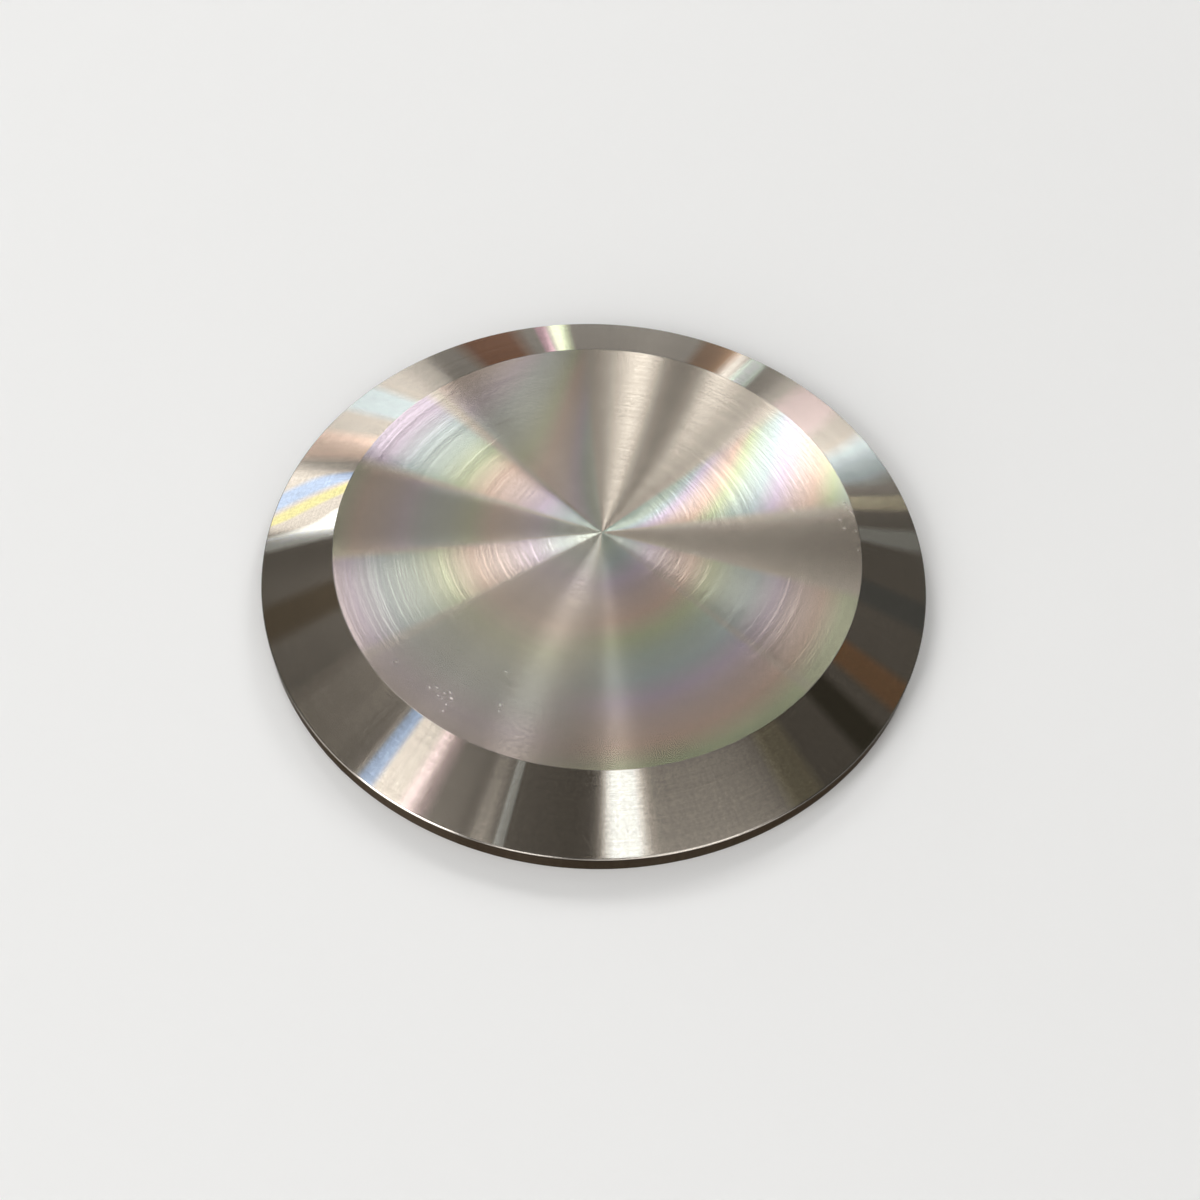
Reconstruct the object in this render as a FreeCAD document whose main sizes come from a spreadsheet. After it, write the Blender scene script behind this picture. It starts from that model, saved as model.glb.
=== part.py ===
# Sanitary clamp end cap, a solid stainless blank that closes a 3 inch clamp ferrule.
# One turned piece. It lies on its gasket face, which is the XY plane, with its axis along +Z.
# Lengths are in millimetres, angles in degrees.
import FreeCAD
import Part
import Sketcher
import math
import os

# Alias, value, meaning
driving = [
    ("flange_diameter", 90.91, "outside of the flange, 3.579 inch"),
    ("cap_thickness", 6.35, "gasket face to crown face, 1/4 inch"),
    ("rim_thickness", 2.845, "gasket face to where the bevel starts, 0.112 inch"),
    ("bevel_angle", 20, "slope of the clamp bevel from the gasket face"),
    ("land_width", 1.585, "outside of the flange to the groove, whose middle is 3.281 inch"),
    ("groove_width", 4.4, "mouth of the gasket groove, before its lips are rounded"),
    ("groove_depth", 1.6, "gasket face to the floor of the groove, 1/16 inch"),
    ("lip_round", 0.3, "radius on both lips of the gasket groove"),
    ("edge_break", 0.25, "flat that breaks each edge of the rim, measured along both sides"),
    ("crown_round", 0.5, "radius where the bevel meets the crown face"),
]
# The floor of the groove is one arc that spans its mouth at its full depth
floor_radius_formula = (
    "(dims.groove_width ^ 2 / 4 + dims.groove_depth ^ 2) / (2 * dims.groove_depth)"
)
ORIGIN = (-1, 1)
X_AXIS = -1
START, END, CENTRE = 1, 2, 3


def make_sheet(doc):
    """The driving dimensions, one alias to a row."""
    sheet = doc.addObject("Spreadsheet::Sheet", "dims")
    for row, (alias, value, meaning) in enumerate(driving, start=1):
        sheet.set(f"A{row}", meaning)
        sheet.set(f"B{row}", str(value))
        sheet.setAlias(f"B{row}", alias)
    doc.recompute()
    return sheet


def point(x, height):
    return FreeCAD.Vector(x, height, 0)


def heading(angle):
    """A unit direction in the section, at this angle from +X."""
    return point(math.cos(math.radians(angle)), math.sin(math.radians(angle)))


def add_line(sketch, start, end):
    return sketch.addGeometry(Part.LineSegment(start, end), False)


def add_arc(sketch, centre, start, end):
    """An arc about the centre, anticlockwise from start to end."""
    out_of_section = FreeCAD.Vector(0, 0, 1)
    circle = Part.Circle(centre, out_of_section, (start - centre).Length)
    first = math.atan2(start.y - centre.y, start.x - centre.x)
    last = math.atan2(end.y - centre.y, end.x - centre.x)
    return sketch.addGeometry(Part.ArcOfCircle(circle, first, last), False)


def corner_arc(corner, before, after, radius):
    """Centre, start and end of the arc that rounds a corner between two headings."""
    reach = radius * math.tan(before.getAngle(after) / 2)
    start = corner - before * reach
    left = point(-before.y, before.x)
    return start + left * radius, start, corner + after * reach


def groove_arcs(sheet):
    """Centre, start and end of the inner lip, the floor and the outer lip of the groove."""
    half_mouth = sheet.groove_width / 2
    middle = sheet.flange_diameter / 2 - sheet.land_width - half_mouth
    floor_radius = (half_mouth**2 + sheet.groove_depth**2) / (2 * sheet.groove_depth)
    floor_centre = point(middle, sheet.groove_depth - floor_radius)
    rise = sheet.lip_round - floor_centre.y
    span = math.sqrt((floor_radius + sheet.lip_round) ** 2 - rise**2)
    inner_centre = point(middle - span, sheet.lip_round)
    outer_centre = point(middle + span, sheet.lip_round)
    inner_join = floor_centre + (inner_centre - floor_centre).normalize() * floor_radius
    outer_join = floor_centre + (outer_centre - floor_centre).normalize() * floor_radius
    inner_lip = (inner_centre, point(middle - span, 0), inner_join)
    floor = (floor_centre, outer_join, inner_join)
    outer_lip = (outer_centre, outer_join, point(middle + span, 0))
    return inner_lip, floor, outer_lip


def draw_section(sketch, sheet):
    """Half of the cap's section as a closed anticlockwise path, by name."""
    radius = sheet.flange_diameter / 2
    top = sheet.cap_thickness
    slope = heading(180 - sheet.bevel_angle)
    rim_corner = point(radius, sheet.rim_thickness)
    rim_low = point(radius, sheet.edge_break)
    rim_high = point(radius, rim_corner.y - sheet.edge_break)
    land_end = point(radius - sheet.edge_break, 0)
    bevel_start = rim_corner + slope * sheet.edge_break
    crown_corner = rim_corner + slope * ((top - rim_corner.y) / slope.y)

    inner_lip, floor, outer_lip = groove_arcs(sheet)
    crown_round = corner_arc(crown_corner, slope, heading(180), sheet.crown_round)
    return {
        "face": add_line(sketch, point(0, 0), inner_lip[1]),
        "inner_lip": add_arc(sketch, *inner_lip),
        "floor": add_arc(sketch, *floor),
        "outer_lip": add_arc(sketch, *outer_lip),
        "land": add_line(sketch, outer_lip[2], land_end),
        "low_edge": add_line(sketch, land_end, rim_low),
        "rim": add_line(sketch, rim_low, rim_high),
        "high_edge": add_line(sketch, rim_high, bevel_start),
        "bevel": add_line(sketch, bevel_start, crown_round[1]),
        "crown_round": add_arc(sketch, *crown_round),
        "crown": add_line(sketch, crown_round[2], point(0, top)),
        "axis": add_line(sketch, point(0, top), point(0, 0)),
        "rim_corner": sketch.addGeometry(Part.Point(rim_corner), True),
    }


def constrain_section(sketch, part):
    """Joins the path's pieces, tangent at the rounds, and sets which way each line runs."""

    def add(kind, *arguments):
        sketch.addConstraint(Sketcher.Constraint(kind, *arguments))

    smooth_joins = [
        ("face", END, "inner_lip", START),
        ("inner_lip", END, "floor", END),
        ("floor", START, "outer_lip", START),
        ("outer_lip", END, "land", START),
        ("bevel", END, "crown_round", START),
        ("crown_round", END, "crown", START),
    ]
    corners = [
        ("land", "low_edge"),
        ("low_edge", "rim"),
        ("rim", "high_edge"),
        ("high_edge", "bevel"),
        ("crown", "axis"),
    ]
    for first, first_end, second, second_end in smooth_joins:
        add("Tangent", part[first], first_end, part[second], second_end)
    for first, second in corners:
        add("Coincident", part[first], END, part[second], START)
    add("Coincident", part["axis"], END, *ORIGIN)
    add("Coincident", part["face"], START, *ORIGIN)
    for name in ("face", "land", "crown"):
        add("Horizontal", part[name])
    for name in ("rim", "axis"):
        add("Vertical", part[name])
    add("PointOnObject", part["land"], START, X_AXIS)
    # The rim's upper corner before its edge is broken, which its dimensions run to
    add("PointOnObject", part["rim_corner"], START, part["rim"])
    add("PointOnObject", part["rim_corner"], START, part["bevel"])


def dimension_section(sketch, part):
    """Ties every size of the section to the sheet."""
    corner = (part["rim_corner"], START)
    floor = part["floor"]
    low_edge, high_edge = part["low_edge"], part["high_edge"]
    sizes = [
        ("flange_radius", ("DistanceX", *ORIGIN, *corner), "dims.flange_diameter / 2"),
        ("rim_height", ("DistanceY", *ORIGIN, *corner), "dims.rim_thickness"),
        ("cap_height", ("Distance", part["axis"]), "dims.cap_thickness"),
        ("bevel_slope", ("Angle", part["bevel"]), "180 - dims.bevel_angle"),
        (
            "groove_middle",
            ("DistanceX", *ORIGIN, floor, CENTRE),
            "dims.flange_diameter / 2 - dims.land_width - dims.groove_width / 2",
        ),
        (
            "floor_centre_drop",
            ("DistanceY", floor, CENTRE, *ORIGIN),
            f"{floor_radius_formula} - dims.groove_depth",
        ),
        ("floor_radius", ("Radius", floor), floor_radius_formula),
        ("inner_lip_radius", ("Radius", part["inner_lip"]), "dims.lip_round"),
        ("outer_lip_radius", ("Radius", part["outer_lip"]), "dims.lip_round"),
        ("low_edge_inward", ("DistanceX", low_edge, START, *corner), "dims.edge_break"),
        ("low_edge_upward", ("DistanceY", *ORIGIN, low_edge, END), "dims.edge_break"),
        ("high_edge_downward", ("DistanceY", high_edge, START, *corner), "dims.edge_break"),
        ("high_edge_inward", ("Distance", *corner, high_edge, END), "dims.edge_break"),
        ("crown_radius", ("Radius", part["crown_round"]), "dims.crown_round"),
    ]
    for name, (kind, *places), formula in sizes:
        drawn = drawn_size(sketch, kind, places)
        index = sketch.addConstraint(Sketcher.Constraint(kind, *places, drawn))
        sketch.renameConstraint(index, name)
        sketch.setExpression(f"Constraints.{name}", formula)


def drawn_size(sketch, kind, places):
    """What a dimension measures on the path as drawn, so that adding it moves nothing."""
    if len(places) > 1:
        first, second = sketch.getPoint(*places[:2]), sketch.getPoint(*places[2:])
        run = second - first
        return {"DistanceX": run.x, "DistanceY": run.y, "Distance": run.Length}[kind]
    shape = sketch.Geometry[places[0]]
    if kind == "Radius":
        return shape.Radius
    run = shape.EndPoint - shape.StartPoint
    return run.Length if kind == "Distance" else math.atan2(run.y, run.x)


def make_end_cap(doc, sheet):
    """The whole cap, turned from its section in one revolution."""
    body = doc.addObject("PartDesign::Body", "cap")
    body.Label = "end_cap"
    sketch = body.newObject("Sketcher::SketchObject", "turned_section")
    plane = next(f for f in body.Origin.OriginFeatures if f.Role == "XZ_Plane")
    sketch.AttachmentSupport = [(plane, "")]
    sketch.MapMode = "FlatFace"
    part = draw_section(sketch, sheet)
    constrain_section(sketch, part)
    dimension_section(sketch, part)
    doc.recompute()
    turned = body.newObject("PartDesign::Revolution", "turned_blank")
    turned.Profile = sketch
    turned.ReferenceAxis = (sketch, ["V_Axis"])
    turned.Angle = 360
    doc.recompute()
    if not sketch.FullyConstrained:
        raise RuntimeError(f"{sketch.Name} has sizes left free")
    return body


def check_and_export(doc, bodies):
    """Stops on any failed feature, then writes each body's solid to parts/LABEL.step."""
    for item in doc.Objects:
        if {"Invalid", "Error"} & set(item.State):
            raise RuntimeError(f"{item.Name} failed: {item.State}")
    os.makedirs("parts", exist_ok=True)
    for body in bodies:
        if body.Shape.isNull() or not body.Shape.isValid():
            raise RuntimeError(f"{body.Label} has no valid shape")
        body.Shape.exportStep(f"parts/{body.Label}.step")
        box = body.Shape.optimalBoundingBox()
        print(
            f"{body.Label}: {len(body.Shape.Solids)} solid, {len(body.Shape.Faces)} faces,"
            f" {body.Shape.Volume:.1f} mm3,"
            f" {box.XLength:.2f} x {box.YLength:.2f} x {box.ZLength:.2f} mm"
        )


doc = FreeCAD.newDocument("clamp_end_cap")
dims = make_sheet(doc)
end_cap = make_end_cap(doc, dims)
check_and_export(doc, [end_cap])
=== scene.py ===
import math

import bmesh
import bpy
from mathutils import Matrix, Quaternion, Vector


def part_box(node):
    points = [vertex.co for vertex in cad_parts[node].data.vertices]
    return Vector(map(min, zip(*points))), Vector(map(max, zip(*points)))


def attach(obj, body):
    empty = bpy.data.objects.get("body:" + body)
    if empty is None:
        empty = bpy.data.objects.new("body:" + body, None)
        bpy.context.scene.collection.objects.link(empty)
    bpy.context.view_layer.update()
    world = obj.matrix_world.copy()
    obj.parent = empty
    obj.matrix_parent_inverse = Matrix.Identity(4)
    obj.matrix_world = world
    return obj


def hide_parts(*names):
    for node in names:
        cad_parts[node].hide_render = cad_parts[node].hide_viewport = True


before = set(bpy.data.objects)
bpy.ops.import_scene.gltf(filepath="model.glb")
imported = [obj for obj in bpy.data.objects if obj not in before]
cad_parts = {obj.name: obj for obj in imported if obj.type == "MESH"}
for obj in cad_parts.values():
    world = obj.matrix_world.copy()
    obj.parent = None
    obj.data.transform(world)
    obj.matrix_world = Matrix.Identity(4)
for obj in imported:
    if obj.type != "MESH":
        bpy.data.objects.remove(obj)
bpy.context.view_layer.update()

capLow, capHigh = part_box("end_cap")
capRadius = (capHigh.x - capLow.x) / 2
capTop = capHigh.z

# Metres and degrees. The outside radius and the height come from the frame.
capShape = {
    "rimHeight": 0.002845,     # gasket face to where the bevel starts
    "bevelSlope": 20,          # from the gasket face
    "landWidth": 0.001585,     # outside of the flange to the groove
    "grooveWidth": 0.0044,
    "grooveDepth": 0.0016,
    "grooveSteps": 18,
    "lipRound": 0.0003,
    "crownRound": 0.0002,
    "rimRound": 0.00025,
    "roundSteps": 5,
    "holdGap": 0.00006,        # ring beside each round, which keeps the flats flat
    "crownRings": 6,
    "bevelRings": 4,
    "turns": 320,              # steps of the spin
}
bevelSlope = math.radians(capShape["bevelSlope"])
crownRadius = capRadius - (capTop - capShape["rimHeight"]) / math.tan(bevelSlope)


def roundReach(radius, turn):
    # how far a round starts from its corner, when the section turns by this angle there
    return radius * math.tan(turn / 2)


def straight(start, end, startReach, endReach, between):
    # points along a straight stretch of the section, with a ring close to the round at each end
    length = (end - start).length
    gap = capShape["holdGap"]
    near = (startReach + gap) / length if startReach else 0
    far = 1 - (endReach + gap) / length if endReach else 1
    stops = [near + (far - near) * i / (between + 1) for i in range(between + 2)]
    return [start.lerp(end, stop) for stop in stops if 0 < stop < 1]


def capSection(bm):
    # half of the section, from the middle of the crown out, down and back in under the cap
    s = capShape
    mouthOut = capRadius - s["landWidth"]
    mouthIn = mouthOut - s["grooveWidth"]
    crownReach = roundReach(s["crownRound"], bevelSlope)
    rimReach = roundReach(s["rimRound"], math.pi / 2 - bevelSlope)
    lowReach = roundReach(s["rimRound"], math.pi / 2)
    lipReach = roundReach(s["lipRound"], math.pi / 3)

    crownMiddle = Vector((0, 0, capTop))
    crownEdge = Vector((crownRadius, 0, capTop))
    rimTop = Vector((capRadius, 0, s["rimHeight"]))
    rimFoot = Vector((capRadius, 0, 0))
    outerLip = Vector((mouthOut, 0, 0))
    innerLip = Vector((mouthIn, 0, 0))
    faceMiddle = Vector((0, 0, 0))

    path = [crownMiddle]
    path += straight(crownMiddle, crownEdge, 0, crownReach, s["crownRings"]) + [crownEdge]
    path += straight(crownEdge, rimTop, crownReach, rimReach, s["bevelRings"]) + [rimTop]
    path += straight(rimTop, rimFoot, rimReach, lowReach, 0) + [rimFoot]
    path += straight(rimFoot, outerLip, lowReach, lipReach, 0) + [outerLip]
    verts = [bm.verts.new(place) for place in path]

    # the groove is one arc, spun from its outer lip to its inner one
    half = s["grooveWidth"] / 2
    arcRadius = (half ** 2 + s["grooveDepth"] ** 2) / (2 * s["grooveDepth"])
    arcMiddle = Vector(((mouthIn + mouthOut) / 2, 0, s["grooveDepth"] - arcRadius))
    arc = bmesh.ops.spin(bm, geom=[verts[-1]], cent=arcMiddle, axis=(0, 1, 0), use_merge=False,
                         angle=-2 * math.asin(half / arcRadius), steps=s["grooveSteps"])
    arcEnd = [item for item in arc["geom_last"] if isinstance(item, bmesh.types.BMVert)]
    face = straight(innerLip, faceMiddle, lipReach, 0, s["crownRings"]) + [faceMiddle]
    tail = arcEnd + [bm.verts.new(place) for place in face]
    for run in (verts, tail):
        for first, second in zip(run, run[1:]):
            bm.edges.new((first, second))
    return [(crownEdge, crownReach), (rimTop, rimReach), (rimFoot, lowReach), (outerLip, lipReach),
            (innerLip, lipReach)]


def ringEdges(bm, corner):
    # the ring of edges that passes through this corner of the section
    near = 1e-5

    def passes(vert):
        return abs(vert.co.z - corner.z) < near and abs(vert.co.xy.length - corner.x) < near

    return [edge for edge in bm.edges if all(passes(vert) for vert in edge.verts)]


finishes = ["crown", "bevel", "rim", "face", "edge"]


def finishOf(face):
    # which finish a face of the cap has, from how steep it is and how far out it lies
    steep, reach = face.normal.z, face.calc_center_median().xy.length
    if steep > 0.9999:
        return "crown"
    if abs(steep - math.cos(bevelSlope)) < 0.001:
        return "bevel"
    if steep < 0.001 and reach > capRadius - capShape["rimRound"]:
        return "rim"
    return "edge" if steep > 0 else "face"


def buildCap():
    bm = bmesh.new()
    corners = capSection(bm)
    bmesh.ops.spin(bm, geom=bm.verts[:] + bm.edges[:], cent=(0, 0, 0), axis=(0, 0, 1),
                   angle=math.tau, steps=capShape["turns"], use_merge=True)
    bmesh.ops.remove_doubles(bm, verts=bm.verts[:], dist=1e-7)
    for corner, reach in corners:
        bmesh.ops.bevel(bm, geom=ringEdges(bm, corner), offset=reach, offset_type="OFFSET",
                        segments=capShape["roundSteps"], profile=0.5, affect="EDGES", material=-1)
    bmesh.ops.recalc_face_normals(bm, faces=bm.faces[:])
    for face in bm.faces:
        face.smooth = True
        face.material_index = finishes.index(finishOf(face))
    mesh = bpy.data.meshes.new("turned_cap")
    bm.to_mesh(mesh)
    bm.free()
    cap = bpy.data.objects.new("turned_cap", mesh)
    bpy.context.scene.collection.objects.link(cap)
    return cap


cap = buildCap()
print("cap turned,", len(cap.data.polygons), "faces")

# Finish, with painted sheen, reflections, highlights and shade


def addNode(tree, kind, **settings):
    node = tree.nodes.new("ShaderNode" + kind)
    for name, value in settings.items():
        setattr(node, name, value)
    return node


def feed(tree, value, socket):
    # a link from another node's output, or else a plain value
    if isinstance(value, bpy.types.NodeSocket):
        tree.links.new(value, socket)
    else:
        socket.default_value = value


def maths(tree, operation, *values):
    node = addNode(tree, "Math", operation=operation)
    for value, socket in zip(values, node.inputs):
        feed(tree, value, socket)
    return node.outputs[0]


def vectorMaths(tree, operation, first, second=None, scale=None):
    node = addNode(tree, "VectorMath", operation=operation)
    feed(tree, first, node.inputs[0])
    if second is not None:
        feed(tree, second, node.inputs[1])
    if scale is not None:
        feed(tree, scale, node.inputs["Scale"])
    return node.outputs["Value" if operation == "LENGTH" else "Vector"]


def spread(tree, value, low, high, toLow=0.0, toHigh=1.0, soft=False):
    node = addNode(tree, "MapRange", interpolation_type="SMOOTHSTEP" if soft else "LINEAR")
    for given, socket in zip((value, low, high, toLow, toHigh), node.inputs):
        feed(tree, given, socket)
    return node.outputs["Result"]


def noise(tree, place, scale, detail):
    node = addNode(tree, "TexNoise")
    feed(tree, place, node.inputs["Vector"])
    feed(tree, scale, node.inputs["Scale"])
    feed(tree, detail, node.inputs["Detail"])
    return node.outputs["Fac"]


def xyz(tree, *values):
    node = addNode(tree, "CombineXYZ")
    for value, socket in zip(values, node.inputs):
        feed(tree, value, socket)
    return node.outputs["Vector"]


def newGroup(name, inputs, outputs):
    # an empty node group with its named sockets; inputs are numbers or, where a tuple is given, vectors
    tree = bpy.data.node_groups.new(name, "ShaderNodeTree")
    for label, value in inputs.items():
        kind = "NodeSocketVector" if isinstance(value, tuple) else "NodeSocketFloat"
        tree.interface.new_socket(label, in_out="INPUT", socket_type=kind).default_value = value
    for label, kind in outputs.items():
        tree.interface.new_socket(label, in_out="OUTPUT", socket_type="NodeSocket" + kind)
    given = tree.nodes.new("NodeGroupInput").outputs
    result = tree.nodes.new("NodeGroupOutput").inputs
    return tree, given, result


def useGroup(tree, name, **values):
    node = addNode(tree, "Group", node_tree=bpy.data.node_groups[name])
    for label, value in values.items():
        feed(tree, value, node.inputs[label])
    return node.outputs


def capPlaceGroup():
    # where a point lies on the cap: radius, angle from +X, the way out, the way it turns, and how far along
    # the section
    outputs = {"Radius": "Float", "Angle": "Float", "Outward": "Vector", "Turning": "Vector", "Run": "Float"}
    tree, given, result = newGroup("capPlace", {}, outputs)
    here = addNode(tree, "SeparateXYZ")
    tree.links.new(addNode(tree, "TexCoord").outputs["Object"], here.inputs[0])
    x, y, z = here.outputs
    flat = xyz(tree, x, y, 0.0)
    radius = vectorMaths(tree, "LENGTH", flat)
    turn = maths(tree, "DEGREES", maths(tree, "ARCTAN2", y, x))
    outward = vectorMaths(tree, "NORMALIZE", flat)
    feed(tree, radius, result["Radius"])
    feed(tree, maths(tree, "FLOORED_MODULO", turn, 360.0), result["Angle"])
    feed(tree, outward, result["Outward"])
    feed(tree, vectorMaths(tree, "CROSS_PRODUCT", (0, 0, 1), outward), result["Turning"])
    feed(tree, maths(tree, "SUBTRACT", radius, z), result["Run"])


def turnedRingsGroup():
    # what the tool leaves: ridges that tilt the surface in and out, rings of light and dark that each go only
    # part of the way round, thin bright scratches, and an even grain
    inputs = {"Spacing": 0.0003, "Arcs": 1.5, "Tilt": 0.1}
    outputs = {"Streak": "Float", "Hairline": "Float", "Grain": "Float", "Normal": "Vector"}
    tree, given, result = newGroup("turnedRings", inputs, outputs)
    place = useGroup(tree, "capPlace")

    def onRings(spacing, arcs, aside):
        across = maths(tree, "ADD", maths(tree, "DIVIDE", place["Run"], spacing), aside)
        length = maths(tree, "MULTIPLY", given["Arcs"], arcs)
        along = vectorMaths(tree, "SCALE", place["Outward"], scale=length)
        return vectorMaths(tree, "ADD", along, xyz(tree, 0.0, 0.0, across))

    streak = noise(tree, onRings(given["Spacing"], 1.0, 0.0), 1.0, 1.0)
    feed(tree, spread(tree, streak, 0.3, 0.7), result["Streak"])
    hair = noise(tree, onRings(given["Spacing"], 0.8, 40.0), 1.0, 0.0)
    patch = noise(tree, onRings(0.003, 1.5, 90.0), 1.0, 1.0)
    hairline = maths(tree, "MULTIPLY", spread(tree, hair, 0.52, 0.72), spread(tree, patch, 0.25, 0.55))
    feed(tree, hairline, result["Hairline"])
    grainSize = 0.0004
    grain = noise(tree, addNode(tree, "TexCoord").outputs["Object"], 1 / grainSize, 1.0)
    feed(tree, grain, result["Grain"])

    ridgeSpacing = maths(tree, "MULTIPLY", given["Spacing"], 2.0)
    ridge = noise(tree, onRings(ridgeSpacing, 0.8, 170.0), 1.0, 1.0)
    lean = maths(tree, "MULTIPLY", maths(tree, "SUBTRACT", ridge, 0.5), given["Tilt"])
    turning = addNode(tree, "VectorTransform", vector_type="VECTOR", convert_from="OBJECT",
                      convert_to="WORLD")
    feed(tree, place["Turning"], turning.inputs[0])
    flat = addNode(tree, "NewGeometry").outputs["Normal"]
    across = vectorMaths(tree, "CROSS_PRODUCT", turning.outputs[0], flat)
    tilted = vectorMaths(tree, "ADD", flat, vectorMaths(tree, "SCALE", across, scale=lean))
    feed(tree, vectorMaths(tree, "NORMALIZE", tilted), result["Normal"])


def smallMarkGroup():
    # a patch of the surface: 1 inside its ellipse, fading to 0 at its outline
    inputs = {"Centre": (0.0, 0.0, 0.0), "Size": (0.001, 0.001, 1.0), "Turn": 0.0}
    tree, given, result = newGroup("smallMark", inputs, {"Mask": "Float"})
    here = addNode(tree, "TexCoord").outputs["Object"]
    turned = addNode(tree, "VectorRotate", rotation_type="Z_AXIS")
    feed(tree, vectorMaths(tree, "SUBTRACT", here, given["Centre"]), turned.inputs["Vector"])
    feed(tree, maths(tree, "RADIANS", maths(tree, "MULTIPLY", given["Turn"], -1.0)), turned.inputs["Angle"])
    reach = vectorMaths(tree, "LENGTH", vectorMaths(tree, "DIVIDE", turned.outputs[0], given["Size"]))
    feed(tree, spread(tree, reach, 1.0, 0.3), result["Mask"])


def nicksGroup():
    # small nicks strewn evenly, each a small round spot, in only a share of the cells
    tree, given, result = newGroup("nicks", {"Spacing": 0.0005, "Share": 0.3}, {"Mask": "Float"})
    cells = addNode(tree, "TexVoronoi")
    scale = maths(tree, "DIVIDE", 1.0, given["Spacing"])
    feed(tree, addNode(tree, "TexCoord").outputs["Object"], cells.inputs["Vector"])
    feed(tree, scale, cells.inputs["Scale"])
    kept = addNode(tree, "SeparateColor")
    feed(tree, cells.outputs["Color"], kept.inputs[0])
    chosen = maths(tree, "LESS_THAN", kept.outputs[0], given["Share"])
    spot = spread(tree, cells.outputs["Distance"], 0.3, 0.12)
    feed(tree, maths(tree, "MULTIPLY", spot, chosen), result["Mask"])


for build in (capPlaceGroup, turnedRingsGroup, smallMarkGroup, nicksGroup):
    build()


def colourBands(tree, value, stops):
    # a smooth run of colours through its stops, each a place and a colour
    low, high = stops[0][0], stops[-1][0]
    node = addNode(tree, "ValToRGB")
    elements = node.color_ramp.elements
    while len(elements) < len(stops):
        elements.new(1.0)
    for element, (place, colour) in zip(elements, stops):
        element.position = (place - low) / (high - low)
        element.color = (*colour, 1)
    feed(tree, spread(tree, value, low, high), node.inputs["Fac"])
    return node.outputs["Color"]


def between(tree, value, low, high, fades):
    # 1 between two places, fading to 0 outside them
    rise = spread(tree, value, low - fades[0] / 2, low + fades[0] / 2, soft=True)
    fall = spread(tree, value, high + fades[1] / 2, high - fades[1] / 2, soft=True)
    return maths(tree, "MULTIPLY", rise, fall)


# Colours are linear. Streaks, hairlines, grain and lines are each a share of the colour.
finishLook = {
    "crown": {"colour": (0.51, 0.455, 0.385), "roughness": 0.22, "streaks": 0.03, "hairlines": 0.20,
              "spacing": 0.00015, "arcs": 1.2, "tilt": 0.08, "grain": 0.08, "lines": 0.0},
    "bevel": {"colour": (1.12, 1.0, 0.85), "roughness": 0.18, "streaks": 0.03, "hairlines": 0.07,
              "spacing": 0.00015, "arcs": 1.2, "tilt": 0.04, "grain": 0.07, "lines": 0.05},
    # The rim's colour is painted dark: painted shade, standing in for the shaded floor that it reflects.
    "rim": {"colour": (0.078, 0.062, 0.048), "roughness": 0.25, "streaks": 0.10, "hairlines": 0.1,
            "spacing": 0.0002, "arcs": 2.0, "tilt": 0.05, "grain": 0.08, "lines": 0.20},
    "face": {"colour": (0.50, 0.45, 0.385), "roughness": 0.22, "streaks": 0.06, "hairlines": 0.10,
             "spacing": 0.0002, "arcs": 1.2, "tilt": 0.08, "grain": 0.14, "lines": 0.0},
    "edge": {"colour": (0.60, 0.55, 0.49), "roughness": 0.22, "streaks": 0.05, "hairlines": 0.0,
             "spacing": 0.0002, "arcs": 2.0, "tilt": 0.02, "grain": 0.05, "lines": 0.0},
}
lineScale = 1.2     # faint lines that run straight across the turning, to each degree
roughSway = 0.04    # how much rougher the dark rings are, and how much smoother the light ones

# Painted sheen: the colours that the turned steel throws back from the lamps, each against its plain colour
paintedSheenTints = {
    "plain": (1.00, 1.00, 1.00), "grey": (0.92, 1.02, 1.10), "sky": (0.83, 1.03, 1.20),
    "blue": (0.75, 1.00, 1.50), "lilac": (1.00, 0.96, 1.30), "rose": (1.08, 0.97, 1.06),
    "pink": (1.25, 0.90, 1.15), "peach": (1.14, 0.97, 0.92), "brown": (1.12, 0.99, 0.80),
    "amber": (1.38, 0.93, 0.62), "rust": (1.80, 0.85, 0.42), "cream": (1.02, 1.02, 0.87),
    "yellow": (1.04, 1.06, 0.60), "lime": (0.92, 1.09, 0.86), "mint": (0.84, 1.06, 1.08),
}

# Painted sheen: pale bands of colour painted on the crown where the turned grooves throw back the lamps'
# light in colours, one set to each sector, which is in degrees from +X. The bands follow the rings, or curl
# inwards along the sector. They begin at start and are a step apart, in millimetres. Light is how light the
# first band and the last one are painted, and depth is how strong the colours are.
crownPaintedSheen = {
    "right": {"from": 12, "to": 44, "fades": (5, 5), "curl": 12, "curlAt": 30, "curlOver": 25,
              "start": -6, "step": 3, "light": (0.95, 0.9), "depth": 1.0},
    "back": {"from": 97, "to": 135, "fades": (4, 3), "curl": 22, "curlAt": 97, "curlOver": -13,
             "start": -4, "step": 4, "light": (1.15, 1.05), "depth": 0.5},
    "left": {"from": 138, "to": 162, "fades": (4, 4),
             "start": 1, "step": 4, "light": (1.1, 0.85), "depth": 0.9},
    "leftSide": {"from": 164, "to": 190, "fades": (2, 3), "drift": 2,
                 "start": 1, "step": 3, "light": (1, 1), "depth": 0.5},
    "leftFront": {"from": 191, "to": 216, "fades": (3, 4), "drift": 2,
                  "start": 0, "step": 4, "light": (1.3, 0.8), "depth": 0.7},
    "frontLeft": {"from": 217, "to": 262, "fades": (4, 20), "drift": 2,
                  "start": 0, "step": 4, "light": (0.9, 0.9), "depth": 0.4},
    "front": {"from": 270, "to": 319, "fades": (36, 4), "drift": 2,
              "start": 3, "step": 3, "light": (1.1, 1.1), "depth": 0.9},
    "rightFront": {"from": 320, "to": 346, "fades": (3, 4), "drift": 2,
                   "start": 3, "step": 3, "light": (0.95, 0.95), "depth": 0.7},
}
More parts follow.
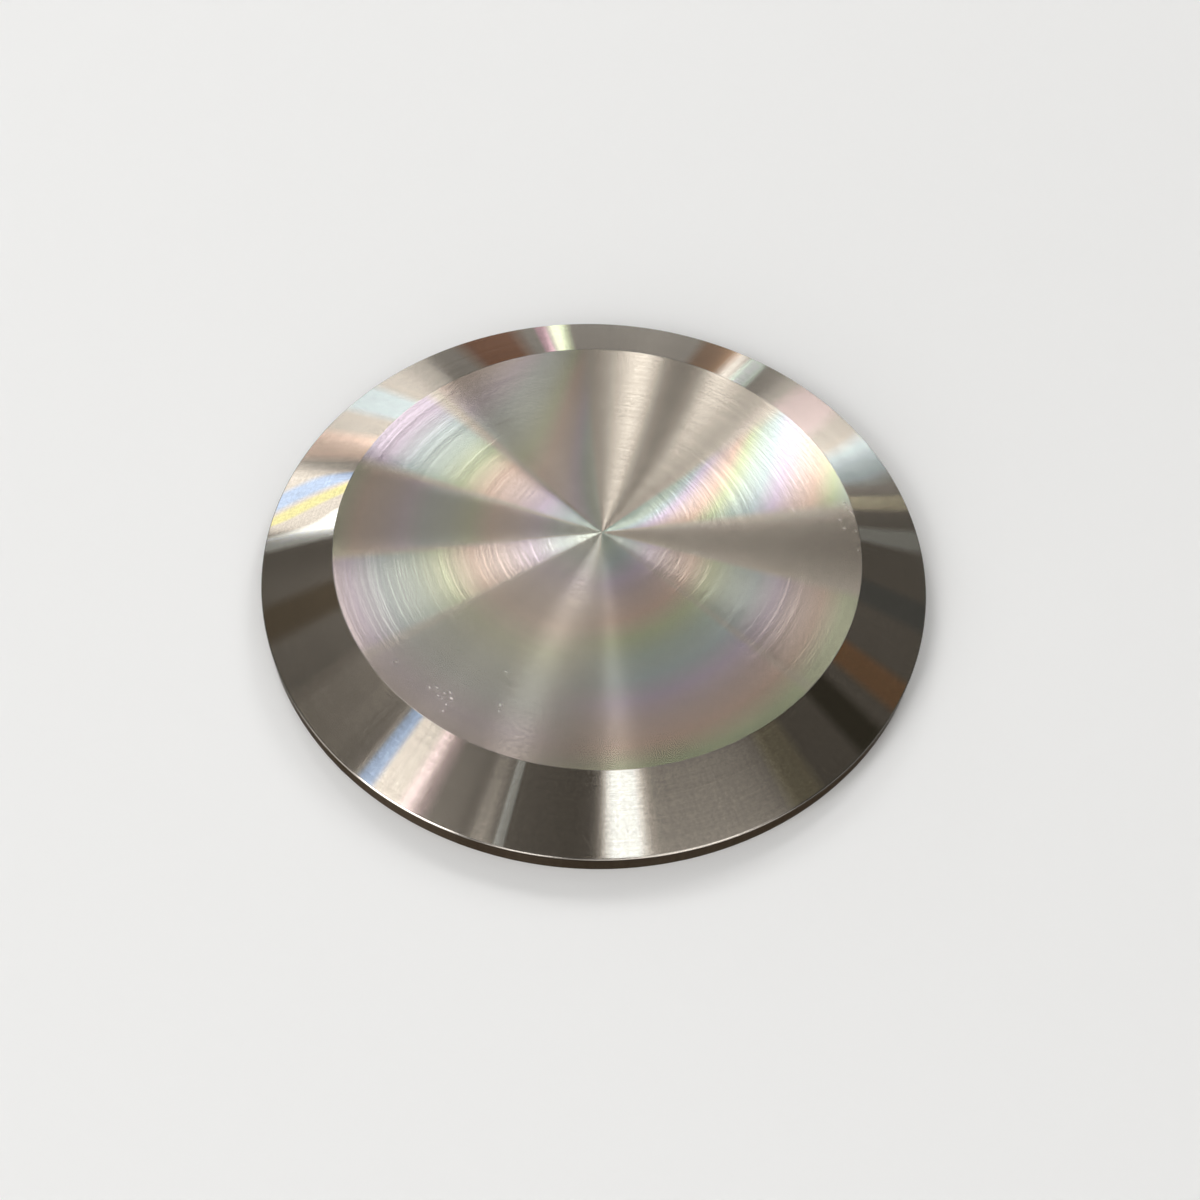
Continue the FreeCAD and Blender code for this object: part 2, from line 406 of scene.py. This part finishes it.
# The order in which the painted sheen colours follow each other on the way out, and where they end, in
# millimetres
rainbow = ("mint", "sky", "lilac", "rose", "peach", "lime")
rainbowEnd = 36
# How light the thin scratches are painted: a little everywhere, their own tone, and more so in these sectors,
# in degrees, as a painted glint where the lamps' reflections fall
plainFlash = 0.15
paintedGlintSectors = {"right": (10, 46, 0.9), "left": (136, 164, 0.6), "leftFront": (190, 216, 1.4),
           "rightFront": (319, 347, 1.0)}

# Painted reflections: the broad light and dark streaks painted down the bevel, where the lamps' reflections
# fall:
# middle and width in degrees from +X, tint, and how light the steel is painted. Between them it is plain.
# the plain steel between the painted streaks; the bevel's colour is over 1, and each streak's light scales it
bevelSteel = ("plain", 0.37)
bevelPaintedReflections = (
    (4, 6, "grey", 0.8), (13, 5, "cream", 0.75), (24, 14, "sky", 0.5), (42, 14, "rose", 0.45),
    (58, 5, "mint", 1.0), (67, 10, "amber", 0.2), (101, 5, "lime", 0.75), (105, 3, "pink", 0.5),
    (116, 16, "rust", 0.15), (145, 10, "sky", 0.45), (159, 10, "peach", 0.5), (170, 6, "blue", 0.35),
    (175, 4, "yellow", 0.4), (183, 5, "grey", 1.0), (200, 10, "brown", 0.22), (222, 18, "plain", 0.55),
    (234, 4, "blue", 0.25), (243, 6, "rose", 0.5), (257, 2, "grey", 0.9), (276, 8, "grey", 0.4),
    (306, 8, "cream", 0.55), (321, 8, "cream", 0.15), (331, 8, "amber", 0.4), (348, 8, "grey", 0.3),
)
# How far the painted reflection streaks lean along the turning on the way out, by sector, in degrees
paintedReflectionLeans = (
    {"from": 2, "to": 60, "fades": (4, 6), "lean": 2.0},
    {"from": 19, "to": 42, "fades": (6, 6), "lean": 3.5},
    {"from": 167, "to": 180, "fades": (6, 6), "lean": 7.5},
)
# Painted highlight: how light the edge between bevel and rim is painted, by angle; and painted shade: how
# dark the line under it is painted
paintedEdgeShine = ((0, 0.35), (215, 0.35), (224, 1.0), (246, 1.0), (250, 0.55), (268, 0.55), (272, 1.0), (298, 1.0),
             (306, 0.30), (360, 0.35))
paintedShadeUnderEdge = {"depth": 0.0007, "shade": 0.45}

# Small nicks in the crown, from handling, painted lighter as a painted glint: centre and half axes in
# millimetres, turn in degrees, and strength
nickMarks = (
    (26.6, 5.7, 0.80, 0.06, -53, 0.7), (33.2, 7.3, 0.60, 0.06, -42, 0.4), (34.9, 5.7, 0.55, 0.10, -47, 1.0),
    (34.1, 7.4, 0.28, 0.18, -30, 0.5), (34.4, 6.5, 0.30, 0.12, -45, 0.6), (33.7, 2.8, 0.30, 0.10, 0, 1.0),
    (33.2, 4.3, 0.35, 0.08, -20, 0.4), (35.3, 2.4, 0.12, 0.22, 0, 0.6), (35.3, -0.9, 0.14, 0.14, 0, 0.6),
    (-24.7, -22.1, 0.30, 0.16, 5, 0.9), (-20.1, -25.5, 0.15, 0.14, 0, 0.6),
    (-19.2, -25.5, 0.30, 0.10, -35, 0.7), (-17.5, -26.1, 0.28, 0.10, -42, 0.9),
    (-18.2, -26.2, 0.20, 0.10, -35, 0.6), (-17.3, -26.9, 0.30, 0.13, -40, 1.0),
    (-18.9, -26.6, 0.24, 0.09, -30, 0.7), (-18.4, -27.0, 0.22, 0.09, -40, 0.6),
    (-17.8, -27.8, 0.22, 0.10, -40, 0.5), (-18.1, -28.7, 0.16, 0.14, 0, 0.5),
    (-11.3, -27.5, 0.20, 0.18, 0, 0.8), (-11.4, -28.4, 0.14, 0.14, 0, 0.4),
    (-11.0, -22.8, 0.45, 0.07, -20, 0.4),
)
# Scuffed patches, painted lighter as a painted glint: centre and half axes in millimetres, turn in degrees,
# and the share of cells that is nicked
scuffs = ((33.9, 3.8, 2.2, 1.2, 80, 0.45), (-18.3, -26.6, 2.4, 1.2, -35, 0.30))
# how much lighter the nicks and scuffs are painted, a painted glint, how much rougher the nicks are, and the
# scuffs' spacing
markDepth = {"light": 0.5, "rough": 0.30, "scuffSpacing": 0.0004, "scuffLight": 0.25}


def paint(stops, depth=1.0):
    # stops of a place, a tint and how light it is, as places and colours
    return [(place, [light * (1 + depth * (part - 1)) for part in paintedSheenTints[tint]])
            for place, tint, light in stops]


def rainbowStops(look):
    # the tints in turn at even steps, lighter or darker towards the edge
    start, step = look["start"], look["step"]
    inner, outer = look["light"]
    last = int((rainbowEnd - start) / step)
    return [(start + i * step, rainbow[i % len(rainbow)], inner + (outer - inner) * i / last)
            for i in range(last + 1)]


def paintedReflectionStops():
    # each painted streak is level over half of its width, and fades into the plain steel on both sides
    stops = [(0, *bevelSteel)]
    for middle, width, tint, light in bevelPaintedReflections:
        stops += [(middle - width / 2, *bevelSteel), (middle - width / 4, tint, light),
                  (middle + width / 4, tint, light), (middle + width / 2, *bevelSteel)]
    return stops + [(360, *bevelSteel)]


# the painted sheen on the crown: bands of colour multiplied into the steel, sector by sector
def paintCrownSheen(tree):
    place = useGroup(tree, "capPlace")
    radius = maths(tree, "MULTIPLY", place["Radius"], 1000.0)
    sway = maths(tree, "COSINE", maths(tree, "RADIANS", place["Angle"]))
    tint = (1, 1, 1)
    for look in crownPaintedSheen.values():
        ring = radius
        if "curl" in look:
            bend = maths(tree, "DIVIDE", maths(tree, "SUBTRACT", place["Angle"], float(look["curlAt"])),
                         float(look["curlOver"]))
            ring = maths(tree, "MULTIPLY_ADD", maths(tree, "EXPONENT", bend), -float(look["curl"]), radius)
        if "drift" in look:
            ring = maths(tree, "MULTIPLY_ADD", sway, float(look["drift"]), radius)
        colours = colourBands(tree, ring, paint(rainbowStops(look), look["depth"]))
        bands = vectorMaths(tree, "SUBTRACT", colours, (1, 1, 1))
        sector = between(tree, place["Angle"], look["from"], look["to"], look["fades"])
        tint = vectorMaths(tree, "ADD", vectorMaths(tree, "SCALE", bands, scale=sector), tint)
    return tint


def scratchesAndPaintedGlints(tree):
    # how strongly the thin scratches show: their own lighter tone everywhere, and a painted glint in the
    # sectors where the lamps' reflections fall
    place = useGroup(tree, "capPlace")
    flash = plainFlash
    for low, high, strength in paintedGlintSectors.values():
        sector = between(tree, place["Angle"], low, high, (3, 3))
        flash = maths(tree, "MULTIPLY_ADD", sector, strength, flash)
    return flash


# the painted reflections on the bevel, as a colour by angle
def paintBevelReflections(tree):
    place = useGroup(tree, "capPlace")
    out = spread(tree, place["Radius"], crownRadius, capRadius, -0.5, 0.5)
    angle = place["Angle"]
    for look in paintedReflectionLeans:
        sector = between(tree, place["Angle"], look["from"], look["to"], look["fades"])
        lean = maths(tree, "MULTIPLY", sector, out)
        angle = maths(tree, "MULTIPLY_ADD", lean, -look["lean"], angle)
    # a colour ramp holds 32 stops, so the run goes through several, one after another
    most = 32
    streaks = paint(paintedReflectionStops())
    colour = colourBands(tree, angle, streaks[:most])
    for first in range(most - 1, len(streaks) - 1, most - 1):
        mix = addNode(tree, "Mix", data_type="RGBA")
        feed(tree, maths(tree, "GREATER_THAN", angle, float(streaks[first][0])), mix.inputs["Factor"])
        feed(tree, colour, mix.inputs[6])
        feed(tree, colourBands(tree, angle, streaks[first:first + most]), mix.inputs[7])
        colour = mix.outputs[2]
    return colour


# the painted highlight on the edges: lighter where the lamps' reflections fall, by angle
def paintEdgeShine(tree):
    place = useGroup(tree, "capPlace")
    return colourBands(tree, place["Angle"], [(angle, (shine, shine, shine)) for angle, shine in paintedEdgeShine])


# painted shade: the rim is painted darker just under the edge, over the depth given
def paintRimShade(tree):
    place = useGroup(tree, "capPlace")
    below = maths(tree, "SUBTRACT", place["Run"], capRadius - capShape["rimHeight"])
    shade = spread(tree, below, 0.0, paintedShadeUnderEdge["depth"], paintedShadeUnderEdge["shade"], 1.0, soft=True)
    return xyz(tree, shade, shade, shade)


def crownMarks(tree):
    # how strongly a place on the crown is marked, and how much of it is scuffed
    def patch(x, y, long, wide, turn):
        return useGroup(tree, "smallMark", Centre=(x / 1000, y / 1000, capTop), Turn=float(turn),
                        Size=(long / 1000, wide / 1000, 1.0))["Mask"]

    marked = 0.0
    for *place, strength in nickMarks:
        marked = maths(tree, "MULTIPLY_ADD", patch(*place), strength, marked)
    scuffed = 0.0
    for *place, share in scuffs:
        nicks = useGroup(tree, "nicks", Spacing=markDepth["scuffSpacing"], Share=share)["Mask"]
        scuffed = maths(tree, "MULTIPLY_ADD", patch(*place), nicks, scuffed)
    return marked, scuffed


def steel(name, tint=None):
    look = finishLook[name]
    material = bpy.data.materials.new(name + "Steel")
    material.use_nodes = True
    tree = material.node_tree
    shader = tree.nodes["Principled BSDF"]
    shader.inputs["Metallic"].default_value = 1
    shader.inputs["Anisotropic"].default_value = 1
    shader.inputs["Anisotropic Rotation"].default_value = 0.25
    if name == "rim":
        shader.inputs["Specular Tint"].default_value = (0.5, 0.45, 0.4, 1)
    tangent = addNode(tree, "Tangent", direction_type="RADIAL", axis="Z")
    feed(tree, tangent.outputs["Tangent"], shader.inputs["Tangent"])

    rings = useGroup(tree, "turnedRings", Spacing=look["spacing"], Arcs=look["arcs"], Tilt=look["tilt"])
    tone = spread(tree, rings["Streak"], 0.0, 1.0, 1 - look["streaks"], 1 + look["streaks"])
    hairline = maths(tree, "MULTIPLY", rings["Hairline"], look["hairlines"])
    if name == "crown":
        hairline = maths(tree, "MULTIPLY", hairline, scratchesAndPaintedGlints(tree))
    tone = maths(tree, "ADD", tone, hairline)
    speckle = spread(tree, rings["Grain"], 0.3, 0.7, 1 - look["grain"], 1 + look["grain"])
    tone = maths(tree, "MULTIPLY", tone, speckle)
    if look["lines"]:
        place = useGroup(tree, "capPlace")
        lines = noise(tree, xyz(tree, place["Angle"], 0.0, 0.0), lineScale, 4.0)
        line = spread(tree, lines, 0.3, 0.7, 1 - look["lines"], 1 + look["lines"])
        tone = maths(tree, "MULTIPLY", tone, line)
    dull, bright = (look["roughness"] * (1 + share) for share in (roughSway, -roughSway))
    rough = spread(tree, rings["Streak"], 0.0, 1.0, dull, bright)
    if name == "crown":
        marked, scuffed = crownMarks(tree)
        # the nicks and scuffs are painted lighter, a painted glint, and the nicks are made rougher
        light = maths(tree, "MULTIPLY_ADD", marked, markDepth["light"], 1.0)
        light = maths(tree, "MULTIPLY_ADD", scuffed, markDepth["scuffLight"], light)
        tone = maths(tree, "MULTIPLY", tone, light)
        rough = maths(tree, "MULTIPLY_ADD", marked, markDepth["rough"], rough)
    colour = vectorMaths(tree, "SCALE", look["colour"], scale=tone)
    # the painted light of each finish: sheen on the crown, reflections on the bevel, highlight on the edges,
    # shade on the rim
    if tint:
        colour = vectorMaths(tree, "MULTIPLY", colour, tint(tree))
    feed(tree, colour, shader.inputs["Base Color"])
    feed(tree, rough, shader.inputs["Roughness"])
    feed(tree, rings["Normal"], shader.inputs["Normal"])
    return material


paintedLight = {"crown": paintCrownSheen, "bevel": paintBevelReflections, "rim": paintRimShade, "edge": paintEdgeShine}
for name in finishes:
    cap.data.materials.append(steel(name, paintedLight.get(name)))
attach(cap, "root")
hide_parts("end_cap")
print("cap finished with", len(finishes), "finishes")

# Stage

floorLook = {"radius": 2.5, "colour": (0.93, 0.93, 0.925)}


def buildFloor():
    bm = bmesh.new()
    bmesh.ops.create_circle(bm, cap_ends=True, segments=96, radius=floorLook["radius"])
    mesh = bpy.data.meshes.new("floor")
    bm.to_mesh(mesh)
    bm.free()
    floor = bpy.data.objects.new("floor", mesh)
    bpy.context.scene.collection.objects.link(floor)
    material = bpy.data.materials.new("paleFloor")
    material.use_nodes = True
    shader = material.node_tree.nodes["Principled BSDF"]
    shader.inputs["Base Color"].default_value = (*floorLook["colour"], 1)
    shader.inputs["Roughness"].default_value = 0.8
    mesh.materials.append(material)


buildFloor()

# Azimuth is counted from +X towards +Y and elevation from the floor; spin turns the lamp about the line to
# the cap. Size is width by height, and level is how bright the lamp's face is.
lampDistance = 1.6
lamps = {
    "backRight": {"azimuth": 66, "elevation": 32, "spin": 0, "size": (0.33, 0.54), "level": 9.5},
    "backRightHigh": {"azimuth": 60, "elevation": 54, "spin": -22, "size": (0.14, 0.30), "level": 1.2},
    "tubeRight": {"azimuth": 79, "elevation": 30, "spin": -8, "size": (0.04, 1.45), "level": 4.2},
    "tube": {"azimuth": 87.5, "elevation": 39, "spin": -8, "size": (0.04, 0.60), "level": 6.4},
    "tubeHigh": {"azimuth": 112, "elevation": 72, "spin": -39, "size": (0.08, 0.36), "level": 2.2},
    "tubeTop": {"azimuth": 62, "elevation": 83, "spin": 34, "size": (0.03, 0.50), "level": 6.0},
    "tubeLeft": {"azimuth": 96, "elevation": 45, "spin": -7, "size": (0.04, 0.60), "level": 2.5},
    "tubeLeftHigh": {"azimuth": 97, "elevation": 45, "spin": 5, "size": (0.07, 0.30), "level": 1.0},
    "tubeLow": {"azimuth": 96, "elevation": 6, "spin": 4, "size": (0.05, 0.28), "level": 2.8},
    "backLeft": {"azimuth": 114, "elevation": 32, "spin": 22, "size": (0.28, 0.34), "level": 12.0},
    "backLeftHigh": {"azimuth": 127, "elevation": 53, "spin": 10, "size": (0.17, 0.28), "level": 3.5},
    "backHigh": {"azimuth": 145, "elevation": 60, "spin": -45, "size": (0.13, 0.90), "level": 2.8},
    "leftLow": {"azimuth": 136, "elevation": 22, "spin": 20, "size": (0.30, 0.85), "level": 2.3},
    "leftFloor": {"azimuth": 122, "elevation": 12, "spin": 15, "size": (0.70, 0.13), "level": 2.4},
    "leftHigh": {"azimuth": 197, "elevation": 57, "spin": 30, "size": (0.28, 0.16), "level": 6.0},
    "frontLeft": {"azimuth": 222, "elevation": 22, "spin": 8, "size": (0.75, 1.30), "level": 6.0},
    "frontStrip": {"azimuth": 246, "elevation": 37, "spin": 17, "size": (0.08, 1.90), "level": 2.0},
    "front": {"azimuth": 255, "elevation": 10, "spin": -18, "size": (0.40, 0.65), "level": 6.0},
    "frontLow": {"azimuth": 294, "elevation": 11, "spin": -58, "size": (0.40, 1.20), "level": 3.0},
    "frontRight": {"azimuth": 306, "elevation": 43, "spin": -24, "size": (0.75, 1.50), "level": 0.8},
    "frontHigh": {"azimuth": 290, "elevation": 72, "spin": -22, "size": (0.18, 0.30), "level": 5.3},
}


def addLamp(name, look):
    width, height = look["size"]
    light = bpy.data.lights.new(name, "AREA")
    light.shape = "RECTANGLE"
    light.size, light.size_y = width, height
    # the face of an area lamp is as bright as its power over pi times its area
    light.energy = look["level"] * math.pi * width * height
    lamp = bpy.data.objects.new(name, light)
    bpy.context.scene.collection.objects.link(lamp)
    turn, rise = math.radians(look["azimuth"]), math.radians(look["elevation"])
    towards = Vector((math.cos(turn) * math.cos(rise), math.sin(turn) * math.cos(rise), math.sin(rise)))
    spin = Quaternion((0, 0, 1), math.radians(look["spin"]))
    lamp.location = towards * lampDistance
    lamp.rotation_mode = "QUATERNION"
    lamp.rotation_quaternion = (-towards).to_track_quat("-Z", "Y") @ spin
    lamp.visible_camera = False


for name, look in lamps.items():
    addLamp(name, look)

# The sky of the studio: pale along the floor, and dim above, so that the turned steel keeps its dark fans.
# Heights are in degrees above the floor.
skyLook = {"paleTo": 1, "dimFrom": 9, "pale": (0.85, 0.85, 0.84), "dim": (0.115, 0.11, 0.10)}


def buildSky():
    world = bpy.data.worlds.new("studio")
    world.use_nodes = True
    tree = world.node_tree
    height = addNode(tree, "SeparateXYZ")
    feed(tree, addNode(tree, "TexCoord").outputs["Generated"], height.inputs[0])
    low, high = (math.sin(math.radians(skyLook[key])) for key in ("paleTo", "dimFrom"))
    fade = spread(tree, height.outputs["Z"], low, high, soft=True)
    mix = addNode(tree, "Mix", data_type="RGBA")
    feed(tree, fade, mix.inputs["Factor"])
    feed(tree, (*skyLook["pale"], 1), mix.inputs[6])
    feed(tree, (*skyLook["dim"], 1), mix.inputs[7])
    feed(tree, mix.outputs[2], tree.nodes["Background"].inputs["Color"])
    bpy.context.scene.world = world


buildSky()
print("stage lit by", len(lamps), "lamps")

cameraPlace = {
    "position": (0, -0.1028, 0.1379),
    "aim": (0.01005, 0.00636, 0),
    "roll": 7.066,
    "lens": 36.63,
    "shift": (-0.06, -0.06),
}


def addCamera():
    data = bpy.data.cameras.new("camera")
    data.lens = cameraPlace["lens"]
    data.sensor_width = 36
    data.shift_x, data.shift_y = cameraPlace["shift"]
    data.clip_start, data.clip_end = 0.01, 20
    camera = bpy.data.objects.new("camera", data)
    bpy.context.scene.collection.objects.link(camera)
    camera.location = cameraPlace["position"]
    gaze = Vector(cameraPlace["aim"]) - camera.location
    camera.rotation_mode = "QUATERNION"
    roll = Quaternion((0, 0, 1), math.radians(cameraPlace["roll"]))
    camera.rotation_quaternion = gaze.to_track_quat("-Z", "Y") @ roll
    bpy.context.scene.camera = camera


addCamera()
bpy.context.scene.view_settings.view_transform = "Standard"
